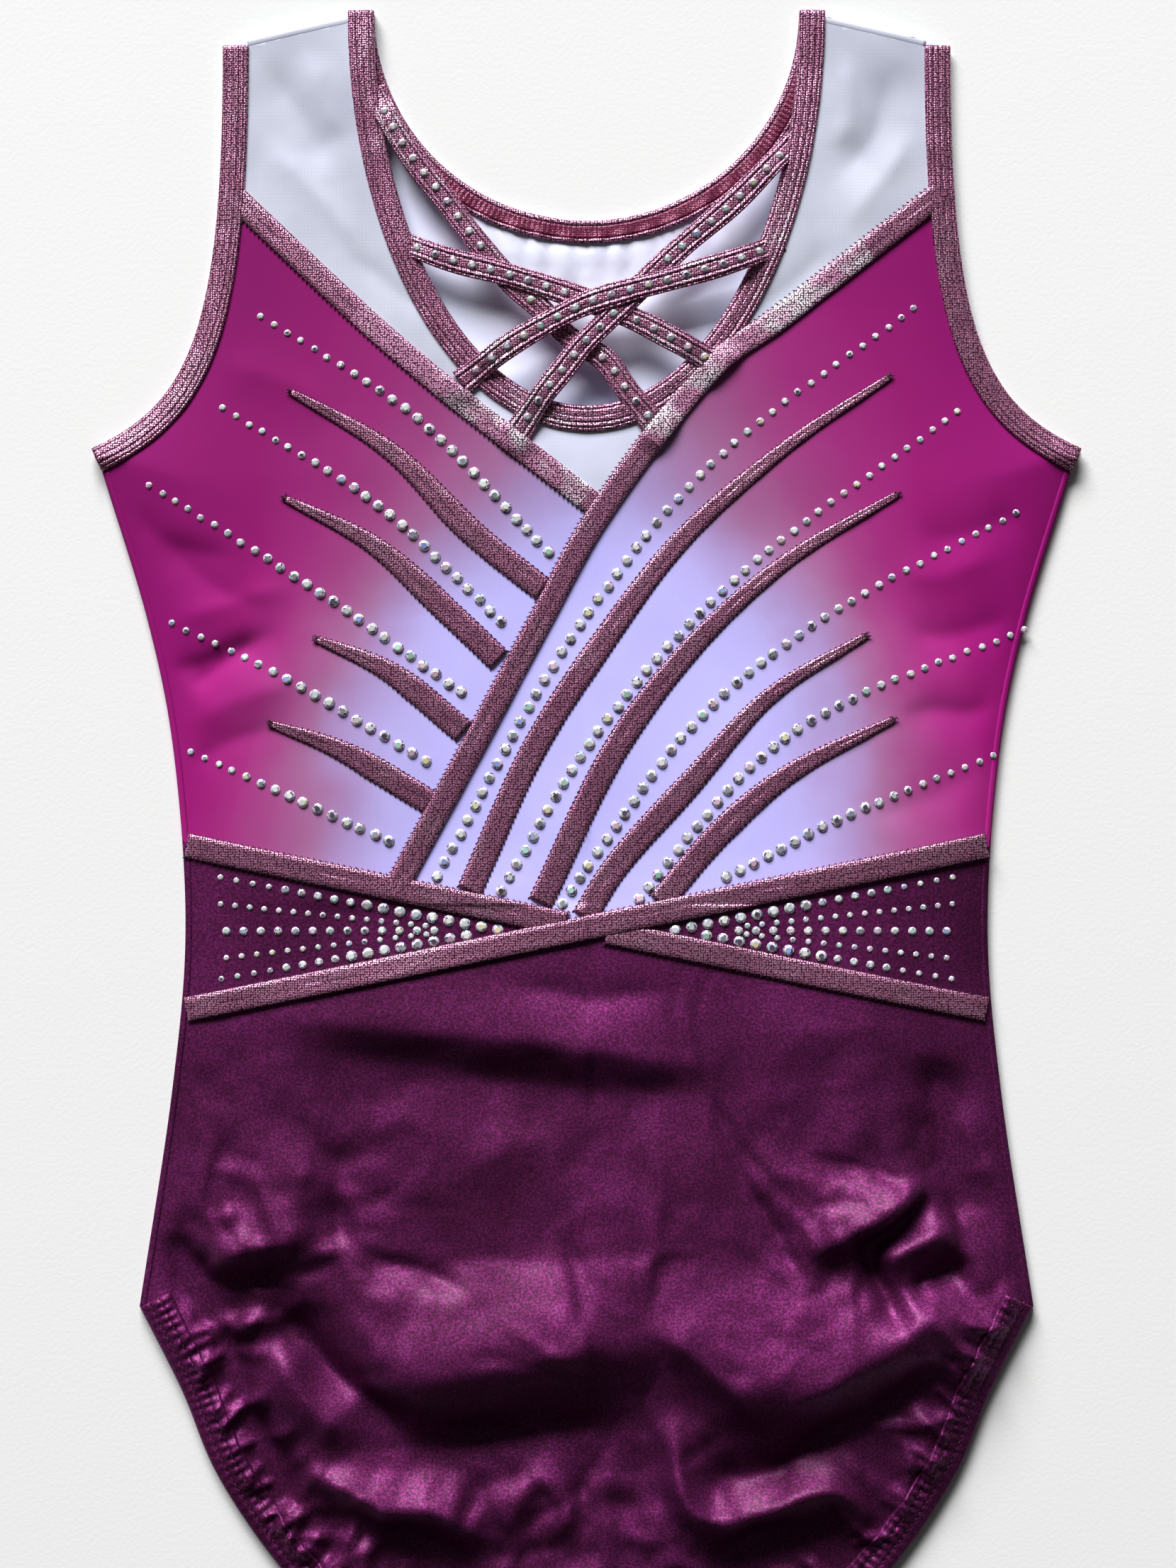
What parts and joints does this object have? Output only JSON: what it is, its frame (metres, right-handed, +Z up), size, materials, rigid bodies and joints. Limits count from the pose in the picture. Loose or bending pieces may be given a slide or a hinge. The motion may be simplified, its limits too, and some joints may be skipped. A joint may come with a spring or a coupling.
{
  "type": "gymnastics leotard",
  "caption": "Sleeveless competition leotard lying flat: wrapped magenta bodice, white mesh yoke, crossed neck straps, taped rays, crystal rows and a plum brief.",
  "frame": {"origin": "on the table, under the middle of the garment lying on its back", "axes": "+Y to the shoulders, +Z up out of the front, -X to the wearer's right"},
  "size_m": [0.34, 0.614, 0.0181],
  "materials": {
    "magenta_ombre": "matte stretch knit, magenta fading to lavender",
    "white_mesh": "white stretch mesh over white lining, faint lilac sheen",
    "plum_satin": "glossy plum stretch satin with a fine sparkle",
    "foil_tape": "plum stretch tape with rows of small foil dots",
    "crystal": "clear faceted glass with an iridescent coat",
    "lining": "matte white knit"
  },
  "bodies": {
    "root": {"armhole_binding_left": "foil_tape", "armhole_binding_right": "foil_tape", "back_bodice": "magenta_ombre", "back_brief": "plum_satin", "back_yoke": "white_mesh", "cross_strap_neck_left": "foil_tape", "cross_strap_neck_right": "foil_tape", "cross_strap_shoulder_left": "foil_tape", "cross_strap_shoulder_right": "foil_tape", "crotch_seam": "plum_satin", "crystal_field_left": "crystal", "crystal_field_right": "crystal", "crystal_row_left_1": "crystal", "crystal_row_left_2": "crystal", "crystal_row_left_3": "crystal", "crystal_row_left_4": "crystal", "crystal_row_left_5": "crystal", "crystal_row_right_1": "crystal", "crystal_row_right_2": "crystal", "crystal_row_right_3": "crystal", "crystal_row_right_4": "crystal", "crystal_row_right_5": "crystal", "crystal_row_strap_neck_left": "crystal", "crystal_row_strap_neck_right": "crystal", "crystal_row_strap_shoulder_left": "crystal", "crystal_row_strap_shoulder_right": "crystal", "front_bodice_left": "magenta_ombre", "front_bodice_right": "magenta_ombre", "front_brief": "plum_satin", "front_v_insert": "white_mesh", "front_yoke_left": "white_mesh", "front_yoke_right": "white_mesh", "gusset_lining": "lining", "leg_hem_left": "plum_satin", "leg_hem_right": "plum_satin", "neck_binding_back": "foil_tape", "neck_binding_front": "foil_tape", "ray_strip_left_1": "foil_tape", "ray_strip_left_2": "foil_tape", "ray_strip_left_3": "foil_tape", "ray_strip_left_4": "foil_tape", "ray_strip_right_1": "foil_tape", "ray_strip_right_2": "foil_tape", "ray_strip_right_3": "foil_tape", "ray_strip_right_4": "foil_tape", "shoulder_seam_left": "white_mesh", "shoulder_seam_right": "white_mesh", "side_seam_left": "magenta_ombre", "side_seam_right": "magenta_ombre", "v_band_right": "foil_tape", "waist_band_over": "foil_tape", "waist_band_under_left": "foil_tape", "waist_band_under_right": "foil_tape", "waist_inset_left": "plum_satin", "waist_inset_right": "plum_satin", "wrap_band_left": "foil_tape"}
  },
  "joints": []
}
